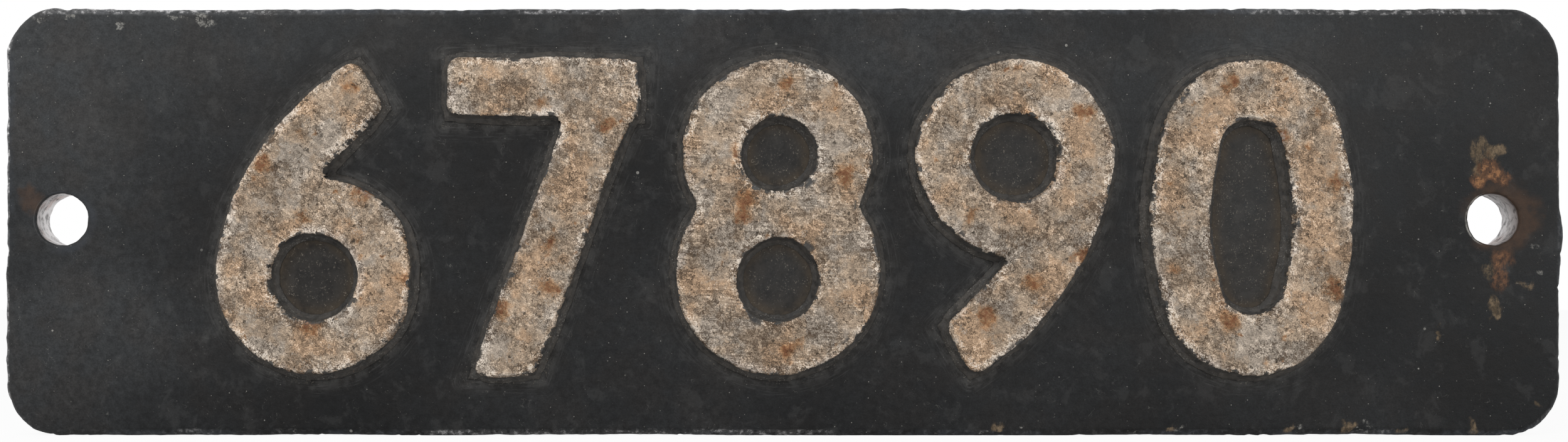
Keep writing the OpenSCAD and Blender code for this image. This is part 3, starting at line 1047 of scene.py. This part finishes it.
class PlatePaint(PaintMixer):
    """Old satin black paint with dust, grime by the figures, rust by the holes and bare iron in them, and painted
    light: a lighter top edge and left end, sheen and glints along the edges, highlights on the holes' rims and
    backlight on the iron
    """

    def __init__(self, paint):
        super().__init__("plate_black_paint")
        self.paint = paint
        self.mottle = self.noise(330, 5, 0.74)
        self.fine = self.noise(1700, 2, 0.6)
        self.coarse = self.noise(210, 5, 0.68)

    def build(self):
        """Lays all coats and returns the material"""
        self.black_coat()
        dust = self.dust()
        self.brush_strokes()
        grime = self.grime()
        stain, dirt, rust = self.rust()
        self.paint_sheen_and_glints()
        bore_relief = self.bores()
        roughness = self.math("MINIMUM", self.total(
            self.window(self.mottle, 0.3, 0.7, 0.40, 0.60), self.product(dust, 0.2),
            self.product(dirt, 0.3), self.product(rust, 0.3), self.product(grime, 0.3),
            self.product(stain, 0.15)), 0.95)
        shred_place = self.turned(8, (620, 210, 1), place=self.warped(120, 5 * MM))
        shred = self.flat_noise(1.0, 6, 0.7, shred_place)
        height = self.total(
            self.mottle, self.product(self.fine, 0.25), self.product(dust, 0.4),
            self.product(rust, shred, 0.8), bore_relief)
        return self.finish(roughness, height, 0.5, 0.30 * MM)

    def black_coat(self):
        """Black paint, browner in places, with clouds of haze, and painted light that makes it lighter along the
        top edge and in the left corners
        """
        paint = self.paint
        zone = self.window(self.noise(9, 3), 0.32, 0.68, 0.60, 1.40)
        # painted light: the black is made up to about twice as light along the top edge and at the left end
        painted_light = self.product(self.attribute("painted_light"), self.window(zone, 0.6, 1.4, 0.7, 1.3))
        tone = self.product(
            zone, self.window(self.mottle, 0.30, 0.70, 0.70, 1.30),
            self.window(self.fine, 0.25, 0.75, 0.75, 1.25), self.window(painted_light, 0.0, 1.0, 1.0, 2.05))
        browned = self.window(self.noise(55, 4, 0.6), 0.42, 0.62)
        self.colour = self.shade(self.mix(browned, paint.black, paint.umber), tone)
        cloud = self.flat_noise(70, 6, 0.7, self.warped(60, 9 * MM))
        self.lay(paint.haze, self.window(cloud, 0.55, 0.66), 0.16)
        smudge = self.window(self.noise(40, 5, 0.65), 0.56, 0.76)
        self.lay(paint.haze, smudge, self.window(self.coarse, 0.44, 0.66), 0.45)

    def dust(self):
        """Pale specks of three sizes, and fine hairs"""
        specks = self.total(
            self.specks(150, 0.036, 0.6), self.specks(420, 0.06, 0.14),
            self.product(self.specks(36, 0.024, 0.4), 1.2))
        dusty = self.window(self.noise(34, 3, 0.6), 0.40, 0.55, 0.25, 1.0)
        dust = self.product(self.math("MINIMUM", specks, 1.0), dusty)
        self.lay(self.paint.speck, dust, 0.60)
        hair = self.window(self.crease(self.flat_noise(230, 2, 0.5)), 0.0, 0.010, 1.0, 0.0)
        self.lay(self.paint.speck, hair, self.window(self.coarse, 0.58, 0.66), 0.20)
        return dust

    def brush_strokes(self):
        """Dark and pale strokes drawn out along the outlines of the figures"""
        gap = self.attribute("figure_gap")
        apart = self.node("ShaderNodeSeparateXYZ", {0: self.flat})
        place = self.node("ShaderNodeCombineXYZ", {
            0: self.product(gap, 20.0), 1: self.product(apart.outputs[0], 130.0),
            2: self.product(apart.outputs[1], 130.0)})
        strokes = self.noise(1.0, 4.0, 0.65, place.outputs[0])
        beside = self.window(gap, 0.70, 0.10)
        darker = self.blend(beside, 1.0, self.window(strokes, 0.36, 0.50, 0.55, 1.0))
        self.colour = self.shade(self.colour, darker)
        self.lay(self.paint.haze, beside, self.window(strokes, 0.53, 0.68), 0.42)

    def grime(self):
        """Brown dirt by the figures and in the spaces that they close in, with dry specks"""
        paint = self.paint
        strength = self.attribute("grime")
        grime = self.product(strength, self.window(self.coarse, 0.28, 0.62, 0.3, 1.0))
        grey = self.mix(0.5, paint.grime, paint.haze)
        brown = self.shade(paint.grime, 1.25)
        self.lay(self.mix(self.window(strength, 0.30, 0.75), grey, brown), grime, 0.90)
        beside = self.window(self.attribute("figure_gap"), 0.42, 0.0)
        self.lay(paint.haze, beside, self.window(self.coarse, 0.42, 0.62), 0.40)
        self.lay(
            self.mix(0.4, paint.sand, paint.speck), self.window(strength, 0.15, 0.40),
            self.window(self.fine, 0.59, 0.68), self.window(self.mottle, 0.46, 0.60), 0.60)
        return grime

    def rust(self):
        """The washer's mark, stains, dry dirt, rust and scuffs"""
        paint = self.paint
        mottle = self.mottle
        washer = self.attribute("washer")
        self.lay(paint.edge, washer, self.window(self.coarse, 0.3, 0.6, 0.4, 1.0), 0.50)
        torn = self.flat_noise(1.0, 6, 0.76, self.turned(8, (620, 300, 1)))
        stained = self.product(self.attribute("stain"), self.window(self.coarse, 0.3, 0.7, 0.75, 1.25))
        stain = self.window(stained, 0.15, 0.85)
        self.lay(self.shade(paint.stain, self.window(mottle, 0.3, 0.7, 0.7, 1.3)), stain, 0.70)
        dirt = self.patch(self.attribute("dirt"), torn, 0.12, 0.90)
        self.lay(self.shade(paint.sand, self.window(mottle, 0.35, 0.65, 0.45, 1.45)), dirt, 0.80)
        strength = self.attribute("rust")
        rust = self.patch(strength, torn, 0.10, 0.85)
        rust_colour = self.mix(self.patch(strength, mottle, 0.7, 1.2), paint.rust, paint.orange)
        self.lay(self.shade(rust_colour, self.window(mottle, 0.3, 0.7, 0.65, 1.35)), rust, 0.88)
        scuff = self.patch(self.attribute("scuff"), self.flat_noise(430, 5, 0.74), 0.45, 1.0)
        self.lay(paint.speck, scuff, self.window(self.fine, 0.35, 0.65, 0.12, 0.55))
        return stain, dirt, rust

    def paint_sheen_and_glints(self):
        """Painted sheen in blue-grey along the edges, and painted glints with nicks of bare metal at the very edge
        """
        stretch = self.window(self.noise(24, 3, 0.6), 0.44, 0.60, 0.10, 1.0)
        # painted reflection of the white room along the edges
        edge = self.window(self.attribute("edge"), 0.30, 0.95)
        self.lay(self.paint.edge, edge, self.window(self.coarse, 0.34, 0.60), stretch, 0.65)
        # painted glints, partly nicks of bare metal, in the pale iron colour
        glint = self.attribute("glint")
        bare = self.noise(420, 4, 0.7)
        self.lay(self.paint.iron, glint, self.window(bare, 0.36, 0.50), 0.16)
        self.lay(self.paint.iron, glint, self.window(bare, 0.53, 0.61), 0.80)

    def bores(self):
        """Bare iron in the holes, painted pale and brighter towards the back as painted backlight, with rust scale,
        and a painted highlight on their rims; returns its relief
        """
        paint = self.paint
        bore = self.attribute("bore")
        # painted backlight, brighter towards the back of each hole
        tone = self.attribute("bore_backlight")
        scale = self.window(self.layers(260, 480, 5), 0.34, 0.54)
        iron = self.mix(scale, self.shade(paint.iron, 0.30), paint.iron)
        scaled = self.highest(
            self.window(self.noise(120, 3), 0.52, 0.66, 0.0, 0.4),
            self.window(tone, 0.9, 0.2, 0.0, 0.4))
        pink = self.shade(paint.scale, self.window(scale, 0.0, 1.0, 0.5, 1.5))
        self.lay(self.shade(self.mix(scaled, iron, pink), tone), bore)
        # painted highlight on the holes' front rims, in the pale speck colour
        rim_highlight = self.window(self.attribute("rim_highlight"), 0.35, 0.85)
        self.lay(paint.speck, rim_highlight, self.window(self.coarse, 0.34, 0.56), 0.55)
        return self.product(bore, scale, 1.5)


class FigurePaint(PaintMixer):
    """Flaking cream paint on a figure's face, black paint on its walls, with painted highlights on the lower-left
    rims and curled flake edges, and the walls' black painted lighter against their shade
    """

    def __init__(self, paint, index):
        super().__init__("figure_cream_paint_%d" % index)
        self.paint = paint
        self.streak_turn, self.streak_strength, self.chipped = FIGURE_WEAR[index]
        across, up = PATTERN_STEP
        self.flat = self.turned(0, (1, 1, 1), (across * index, up * index, 0))
        self.torn = self.warped(800, 1.5 * MM)
        self.fine = self.flat_noise(1900, 3, 0.7)
        self.grain = self.flat_noise(520, 5, 0.75)
        self.rim = self.attribute("rim")
        # painted highlight: the rims facing lower left are painted lighter
        self.lower_left_highlight = self.attribute("lower_left_highlight")
        self.near_rim = self.window(self.rim, 0.2, 0.9)
        self.crust = self.product(self.near_rim, self.window(self.flat_noise(36, 3, 0.6), 0.46, 0.58))

    def build(self):
        """Lays all coats and returns the material"""
        wall, wall_rough, wall_height = self.black_wall()
        cream_height = self.cream_face()
        self.rust_spots()
        pits = self.flakes_and_pits()
        cream = self.cream_left()
        self.colour = self.mix(cream, wall, self.colour)
        roughness = self.blend(cream, wall_rough, self.window(self.grain, 0.3, 0.7, 0.62, 0.85))
        cream_height = self.total(cream_height, self.product(pits, -0.9))
        return self.finish(roughness, self.blend(cream, wall_height, cream_height), 0.9, 0.35 * MM)

    def black_wall(self):
        """Dusty black paint of the walls, painted lighter against the shade they stand in: colour, roughness and
        height
        """
        paint = self.paint
        mottle = self.noise(330, 5, 0.74)
        foot = self.attribute("foot")
        dirt = self.mix(0.5, paint.grime, paint.haze)
        worn = self.window(self.noise(210, 5, 0.7), 0.30, 0.60)
        # painted light: the brown black made three times lighter to make up for the shade on the walls
        worn_lit_black = self.mix(worn, self.shade(paint.umber, 3.0), dirt)
        self.colour = self.shade(worn_lit_black, self.window(mottle, 0.3, 0.7, 0.65, 1.55))
        dusty = self.window(self.layers(90, 1300), 0.50, 0.64, 0.0, 0.85)
        self.lay(paint.haze, dusty, self.window(foot, 0.2, 1.0, 1.0, 0.7))
        foot_tone = self.window(mottle, 0.3, 0.7, 0.6, 1.4)
        dirty_foot = self.shade(self.mix(0.50, paint.umber, dirt), foot_tone)
        self.lay(dirty_foot, self.window(foot, 0.55, 1.0, 0.0, 0.75))
        specks = self.window(self.noise(1700, 2, 0.6), 0.57, 0.68)
        self.lay(paint.speck, specks, self.window(self.noise(90, 3), 0.42, 0.62), 0.30)
        return self.colour, self.window(mottle, 0.3, 0.7, 0.45, 0.65), mottle

    def cream_face(self):
        """Cream paint in flakes, sheets and slabs, cracked, brushed and rubbed, with painted highlights along the
        edges of curled flakes; returns its height
        """
        paint = self.paint
        torn = self.torn
        flake = self.flakes(35, 620, 1050, torn)
        sheet = self.flakes(-48, 270, 420, torn)
        slab = self.flakes(15, 85, 130, self.warped(260, 5 * MM))
        streak_place = self.turned(self.streak_turn, (70, 1700, 1), place=self.warped(60, 2 * MM))
        streak = self.spread(self.flat_noise(1.0, 3, 0.6, streak_place), self.streak_strength)
        brushed = self.product(streak, self.window(self.flat_noise(90, 3), 0.35, 0.6))
        crack = self.window(self.crease(self.flat_noise(360, 4, 0.6, torn)), 0.0, 0.025, 0.75, 0.0)
        cracked = self.product(crack, self.window(self.flat_noise(130, 3), 0.46, 0.60))

        uneven = self.total(
            self.spread(self.fine, 2.1), self.spread(self.grain, 0.90), self.spread(flake, 0.50),
            self.spread(sheet, 0.28), self.spread(self.flat_noise(45, 4, 0.6), 0.55),
            self.spread(slab, 0.36), brushed)
        even = self.product(self.window(slab, 0.62, 0.68), self.window(self.rim, 0.6, 0.3))
        contrast = self.total(
            self.blend(self.near_rim, 1.0, 1.2), self.product(self.crust, 1.3),
            self.product(even, -0.35))
        light = self.math("SUBTRACT", self.product(uneven, contrast), cracked)
        gain = self.math("POWER", 4.6, light)
        self.colour = self.shade(self.ramp(self.flat_noise(52, 4, 0.58, torn), [
            (0.39, paint.cool), (0.47, paint.cream), (0.53, paint.cream), (0.61, paint.peach)]), gain)
        rubbed = self.window(self.flat_noise(70, 4, 0.6), 0.47, 0.62)
        chalk = self.shade(paint.chalk, gain)
        # chalky undercoat on the rims, with a painted highlight that makes it stronger on the lower left
        self.lay(chalk, self.near_rim, rubbed, self.blend(self.lower_left_highlight, 0.30, 1.0), 0.48)

        ridge = self.crease(self.flat_noise(150, 4, 0.65, torn))
        flaked = self.product(self.window(ridge, 0.0, 0.035, 1.0, 0.0), self.crust)
        # painted highlight along the edges of curled flakes, raised in the bump as well
        curl_highlight = self.product(
            self.window(ridge, 0.0, 0.022, 0.50, 0.0),
            self.window(self.flat_noise(95, 4, 0.6), 0.50, 0.60))
        self.lay(paint.fleck, self.highest(self.window(light, 0.38, 0.78), flaked, curl_highlight))
        self.lay(paint.dark, self.window(light, -0.25, -0.70))
        return self.total(
            self.product(self.grain, 0.6), self.product(self.fine, 0.4), self.product(flake, 0.55),
            self.product(sheet, 0.80), self.product(slab, 0.9), brushed, self.product(cracked, -1.0),
            self.product(curl_highlight, 1.2), 0.6)

    def rust_spots(self):
        """Rust that comes through the cream paint in spots, and tints it all round"""
        paint = self.paint
        blotch = self.specks(52, 0.36, 0.9, 1.0, self.warped(140, 9 * MM))
        speckle = self.specks(115, 0.20, 0.35, 1.0, self.warped(300, 4 * MM))
        core = self.highest(blotch, self.product(speckle, 0.8))
        tinted = self.vector("MULTIPLY", {0: self.colour, 1: paint.tint})
        self.lay(tinted, self.window(self.total(core, self.spread(self.grain, 0.8)), 0.0, 0.8))
        rusty = self.total(
            self.product(core, 0.62), self.spread(self.grain, 1.6), self.spread(self.fine, 1.0))
        rust_colour = self.mix(self.window(rusty, 0.75, 0.35), paint.heart, paint.orange)
        self.lay(rust_colour, self.window(rusty, 0.30, 0.62), self.window(core, 0.0, 0.3), 0.88)

    def flakes_and_pits(self):
        """Pale flakes along the lip, with a painted highlight that makes them strongest on the lower left, and
        small dark pits; returns the pits
        """
        edge_flake = self.window(self.flat_noise(110, 5, 0.75, self.torn), 0.50, 0.57)
        # painted highlight: lip flakes stronger on the lower left
        lower_lip = self.blend(self.lower_left_highlight, 0.45, 1.0)
        self.lay(self.paint.fleck, self.attribute("lip"), edge_flake, lower_lip, 0.65)
        pits = self.total(
            self.specks(480, 0.17, 0.16, 0.4),
            self.specks(170, 0.12, 0.35, 0.4, self.warped(900, 1.6 * MM)))
        pits = self.math("MINIMUM", pits, 1.0)
        self.lay(self.shade(self.paint.grime, 0.7), pits, 0.78)
        return pits

    def cream_left(self):
        """1 where the cream paint is left: on the face, inside frayed, chipped and crumbled rims"""
        frayed = self.product(
            self.window(self.flat_noise(170, 4, 0.62, self.torn), 0.53, 0.66, 0.0, 0.24),
            self.blend(self.crust, 1.0, 1.6))
        inside = self.math("SUBTRACT", self.math("SUBTRACT", 1.0, self.rim), frayed)
        chip = self.product(
            self.specks(58, 0.19, self.chipped, 0.2, self.warped(320, 7 * MM)),
            self.window(self.rim, 0.35, 0.65))
        crumbled = self.product(
            self.crust, self.window(self.flat_noise(300, 4, 0.65, self.torn), 0.52, 0.56),
            self.window(self.rim, 0.62, 0.82))
        cover = self.total(self.attribute("face"), self.window(self.grain, 0.2, 0.8, -0.5, 0.5))
        return self.product(
            self.window(cover, 0.35, 0.65), self.window(inside, -0.04, 0.0),
            self.math("SUBTRACT", 1.0, self.highest(chip, crumbled)))


class NUMBERPLATE_OT_studio_stage(bpy.types.Operator):
    """Sets up the floor, the soft lamps, the white room and the camera"""

    bl_idname = "numberplate.studio_stage"
    bl_label = "Studio Stage"

    def execute(self, context):
        scene = context.scene
        stage = scene.number_plate.stage
        scene.view_settings.view_transform = "Standard"
        self.floor(stage, CAD_BOUNDS[0][2])
        self.room(scene, stage)
        self.lamp("main_lamp", (-0.55, -0.90, 0.72), (1.0, 0.7), stage.key_power)
        self.lamp("fill_lamp", (0.95, -1.10, 0.45), (0.9, 0.9), stage.fill_power)
        self.camera(scene, stage)
        return {"FINISHED"}

    def floor(self, stage, height):
        """A pale floor that keeps the shadow but reads as white"""
        signs = ((-1, -1), (1, -1), (1, 1), (-1, 1))
        corners = [(FLOOR_REACH * x, FLOOR_REACH * y, height) for x, y in signs]
        mesh = bpy.data.meshes.new("studio_floor")
        mesh.from_pydata(corners, [], [(0, 1, 2, 3)])
        floor = bpy.data.objects.new("studio_floor", mesh)
        bpy.context.scene.collection.objects.link(floor)
        mixer = PaintMixer("floor_white")
        grain = mixer.window(mixer.noise(60, 3), 0.3, 0.7, 0.985, 1.0)
        mixer.feed(mixer.shader.inputs["Base Color"], mixer.shade(stage.floor_colour, grain))
        mixer.shader.inputs["Roughness"].default_value = 0.9
        glow = mixer.node("ShaderNodeEmission", {"Color": (1, 1, 1), "Strength": 1.0})
        seen = mixer.node("ShaderNodeLightPath").outputs["Is Camera Ray"]
        share = mixer.product(seen, FLOOR_GLOW)
        both = mixer.node("ShaderNodeMixShader", {
            0: share, 1: mixer.shader.outputs[0], 2: glow.outputs[0]})
        mixer.feed(mixer.tree.nodes["Material Output"].inputs["Surface"], both.outputs[0])
        mesh.materials.append(mixer.material)

    def room(self, scene, stage):
        """White all round for the eye and for reflections, softer as light"""
        world = bpy.data.worlds.new("white_room")
        world.use_nodes = True
        scene.world = world
        mixer = NodeMixer(world.node_tree)
        ray = mixer.node("ShaderNodeLightPath").outputs
        seen = mixer.highest(ray["Is Camera Ray"], ray["Is Glossy Ray"], ray["Is Transmission Ray"])
        strength = mixer.node("ShaderNodeMapRange", {
            "Value": seen, "To Min": stage.room_light, "To Max": 1.0}).outputs["Result"]
        background = world.node_tree.nodes["Background"].inputs
        background["Color"].default_value = (1, 1, 1, 1)
        mixer.feed(background["Strength"], strength)

    def lamp(self, name, place, size, power):
        """A soft square lamp that looks at the plate"""
        light = bpy.data.lights.new(name, "AREA")
        light.shape = "RECTANGLE"
        light.size, light.size_y = size
        light.energy = power
        lamp = bpy.data.objects.new(name, light)
        lamp.location = place
        lamp.rotation_euler = (-Vector(place)).to_track_quat("-Z", "Y").to_euler()
        bpy.context.scene.collection.objects.link(lamp)

    def camera(self, scene, stage):
        """A camera square to the plate's front"""
        data = bpy.data.cameras.new("front_camera")
        data.sensor_fit = "HORIZONTAL"
        data.lens = data.sensor_width * stage.camera_distance / stage.view_width
        data.shift_x = (stage.view_x - stage.camera_x) / stage.view_width
        data.shift_y = (stage.view_z - stage.camera_z) / stage.view_width
        data.clip_start = 0.01
        camera = bpy.data.objects.new("front_camera", data)
        camera.location = (stage.camera_x, FRONT - stage.camera_distance, stage.camera_z)
        camera.rotation_euler = (math.pi / 2, 0, 0)
        scene.collection.objects.link(camera)
        scene.camera = camera


class NumberPlateSettings(bpy.types.PropertyGroup):
    """All settings of the number plate"""

    plate: group_property(PlateSettings, "Plate", "Shape and wear of the plate")
    figures: group_property(FigureSettings, "Figures", "Shape and wear of the figures")
    paint: group_property(PaintSettings, "Paint", "Colours of the finish")
    stage: group_property(StageSettings, "Stage", "Camera, lamps and floor")


class NUMBERPLATE_PT_build(bpy.types.Panel):
    """Lists the steps that build the number plate"""

    bl_idname = "NUMBERPLATE_PT_build"
    bl_label = "Number Plate"
    bl_space_type = "VIEW_3D"
    bl_region_type = "UI"
    bl_category = "Number Plate"

    def draw(self, context):
        settings = context.scene.number_plate
        column = self.layout.column()
        for step in STEPS:
            column.operator(step.bl_idname)
        for group in (settings.plate, settings.figures, settings.paint, settings.stage):
            for name in group.__annotations__:
                column.prop(group, name)


STEPS = (NUMBERPLATE_OT_cast_plate, NUMBERPLATE_OT_raised_figures, NUMBERPLATE_OT_studio_stage)
CLASSES = (PlateSettings, FigureSettings, PaintSettings, StageSettings, NumberPlateSettings,
           *STEPS, NUMBERPLATE_PT_build)


def register():
    """Adds the classes and the settings"""
    for cls in CLASSES:
        bpy.utils.register_class(cls)
    bpy.types.Scene.number_plate = bpy.props.PointerProperty(type=NumberPlateSettings)


def unregister():
    """Takes the settings and the classes away again"""
    del bpy.types.Scene.number_plate
    for cls in reversed(CLASSES):
        bpy.utils.unregister_class(cls)


def main():
    """Builds the pieces and the stage"""
    register()
    bpy.ops.numberplate.cast_plate()
    bpy.ops.numberplate.raised_figures()
    bpy.ops.numberplate.studio_stage()


if __name__ == "__main__":
    main()
